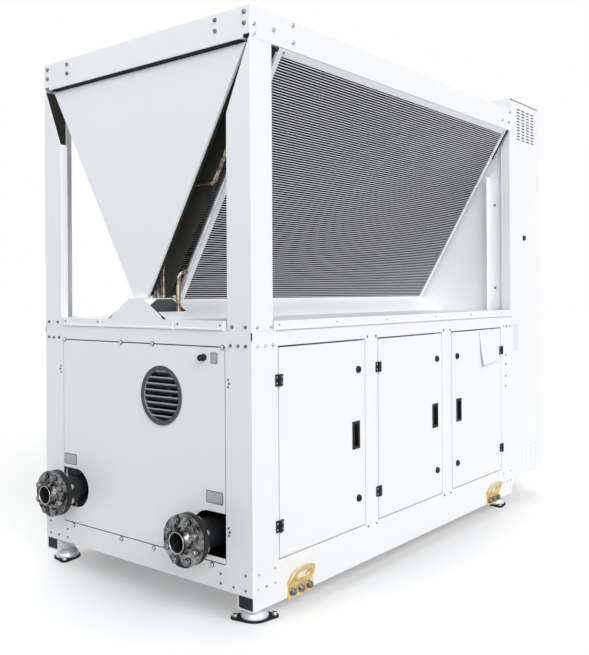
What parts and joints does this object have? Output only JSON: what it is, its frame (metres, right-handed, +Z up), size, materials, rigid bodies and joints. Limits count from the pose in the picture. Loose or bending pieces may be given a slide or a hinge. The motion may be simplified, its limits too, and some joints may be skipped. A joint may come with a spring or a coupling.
{
  "type": "air cooled water chiller",
  "caption": "Framed air cooled water chiller with hinged service doors, flanged water connections, V-shaped coils under roof fans and an end control cabinet.",
  "frame": {"origin": "middle of the outline seen from above, at floor level", "axes": "+X along the doors to the control cabinet, -Y out of the door side, +Z up"},
  "size_m": [2.706, 1.276, 2.225],
  "materials": {
    "white_powder_coat": "semi-gloss powder coat",
    "black_polymer": "moulded matt",
    "black_coated_steel": "satin paint",
    "turned_steel": "turned and dulled",
    "zinc_plated_steel": "bright zinc plate",
    "yellow_zinc_plate": "yellow passivated zinc plate",
    "galvanised_sheet": "galvanised",
    "coil_aluminium": "brazed mill finish",
    "dark_painted_sheet": "matt paint",
    "grey_vent_plastic": "moulded matt",
    "copper_tube": "tarnished copper",
    "black_rubber": "matt"
  },
  "bodies": {
    "chiller_frame": {"base_rails": "white_powder_coat", "end_sills": "white_powder_coat", "floor_pan": "galvanised_sheet", "foot_plates": "black_rubber", "foot_cups": "zinc_plated_steel", "lifting_lugs": "yellow_zinc_plate", "base_posts": "white_powder_coat", "front_mullions": "white_powder_coat", "back_mullions": "white_powder_coat", "side_head_rails": "white_powder_coat", "end_head_rails": "white_powder_coat", "back_panels": "white_powder_coat", "left_end_panel": "white_powder_coat", "right_end_panel": "white_powder_coat", "vent_grille": "grey_vent_plastic", "cable_gland": "black_polymer", "frame_hinges": "black_polymer", "deck_pan": "white_powder_coat", "deck_lips": "white_powder_coat", "v_foot_plate": "white_powder_coat", "coil_ridge": "white_powder_coat", "left_posts": "white_powder_coat", "right_posts": "white_powder_coat", "end_beams": "white_powder_coat", "side_beams": "white_powder_coat", "v_end_panels": "white_powder_coat", "front_coil": "coil_aluminium", "back_coil": "coil_aluminium", "coil_channels": "white_powder_coat", "coil_headers": "coil_aluminium", "plenum_baffle": "dark_painted_sheet", "refrigerant_pipes": "copper_tube", "fan_deck": "white_powder_coat", "fan_rotors": "black_polymer", "fan_guards": "black_coated_steel", "water_pipes": "black_coated_steel", "flange_gaskets": "black_rubber", "water_flanges": "turned_steel", "cabinet_sides": "white_powder_coat", "cabinet_shell": "white_powder_coat", "cabinet_cover": "white_powder_coat", "cabinet_lock": "black_polymer", "evaporator": "black_rubber", "compressors": "black_coated_steel"},
    "door_1": {"door_1": "white_powder_coat", "door_1_fittings": "black_polymer"},
    "door_2": {"door_2": "white_powder_coat", "door_2_fittings": "black_polymer"},
    "door_3": {"door_3": "white_powder_coat", "door_3_fittings": "black_polymer"}
  },
  "joints": [
    {"name": "door_1_hinge", "type": "hinge", "parent": "chiller_frame", "child": "door_1", "pos_m": [-1.0525, -0.607, 0.586], "axis": [0, 0, -1], "range_deg": [0, 120]},
    {"name": "door_2_hinge", "type": "hinge", "parent": "chiller_frame", "child": "door_2", "pos_m": [-0.3995, -0.607, 0.586], "axis": [0, 0, -1], "range_deg": [0, 120]},
    {"name": "door_3_hinge", "type": "hinge", "parent": "chiller_frame", "child": "door_3", "pos_m": [0.8085, -0.607, 0.586], "axis": [0, 0, 1], "range_deg": [0, 120]}
  ]
}
